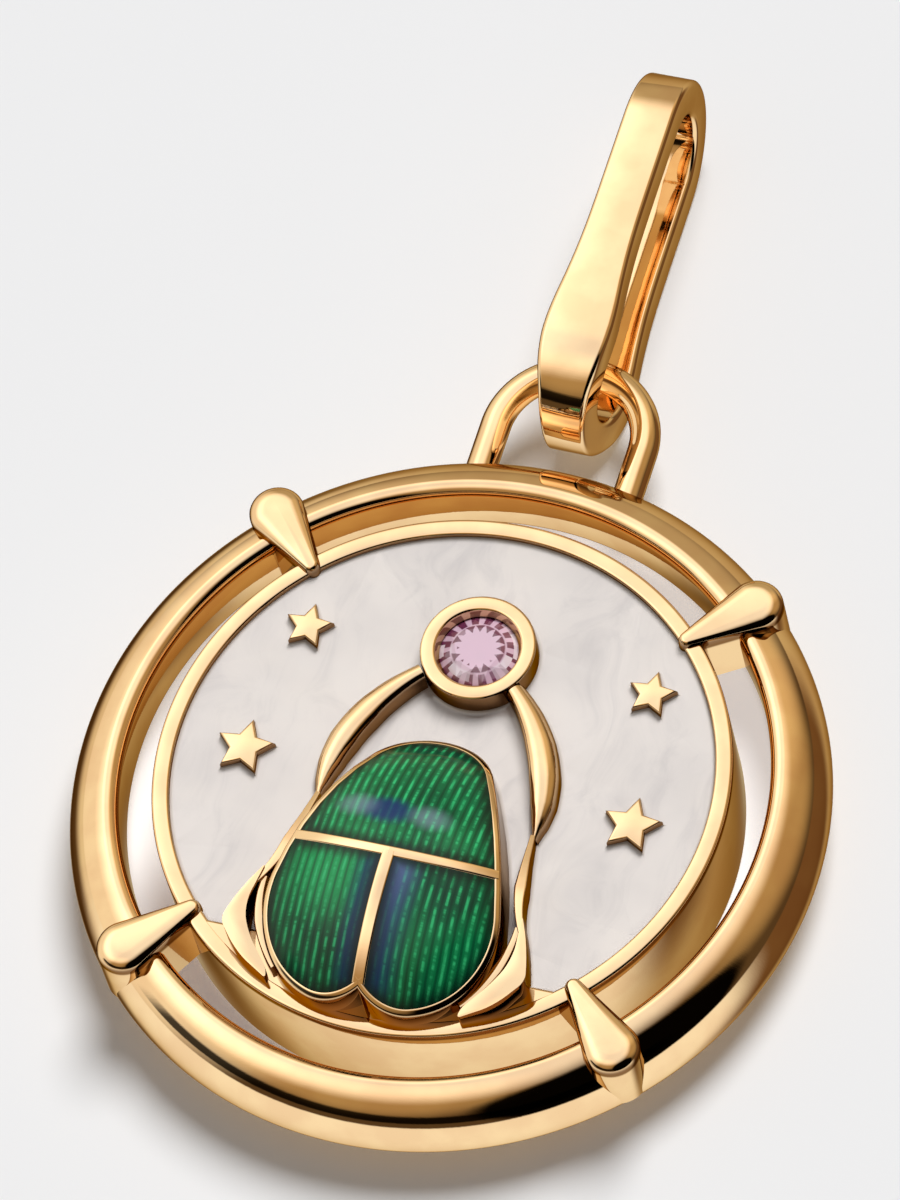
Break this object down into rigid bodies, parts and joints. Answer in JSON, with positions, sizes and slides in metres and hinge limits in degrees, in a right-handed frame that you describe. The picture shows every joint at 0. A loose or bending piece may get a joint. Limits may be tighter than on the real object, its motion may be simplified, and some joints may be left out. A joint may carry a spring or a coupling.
{
  "type": "scarab medallion charm",
  "caption": "Round gold charm: an open claw-set ring round a white enamel disc with a green enamel scarab holding a pink stone, hung from a fixed eye and a swinging loop bail.",
  "frame": {"origin": "on the medallion's axis, in the plane of the disc's flat back", "axes": "+X across the face to the beetle's right-hand side as seen from the front, +Y from the beetle's tail to the bail, +Z out of the face"},
  "size_m": [0.0156, 0.0248, 0.0041],
  "materials": {
    "gold": "polished",
    "white_enamel": "pearly enamel",
    "green_enamel": "glossy enamel",
    "pink_stone": "faceted"
  },
  "bodies": {
    "medallion": {"medallion": "gold", "field_enamel": "white_enamel", "pronotum_enamel": "green_enamel", "left_elytron_enamel": "green_enamel", "right_elytron_enamel": "green_enamel", "gem": "pink_stone"},
    "bail": {"bail": "gold"}
  },
  "joints": [
    {"name": "bail_swing", "type": "hinge", "parent": "medallion", "child": "bail", "pos_m": [0, 0.01015, 0.00133], "axis": [1, 0, 0], "range_deg": [-105, 105]}
  ]
}
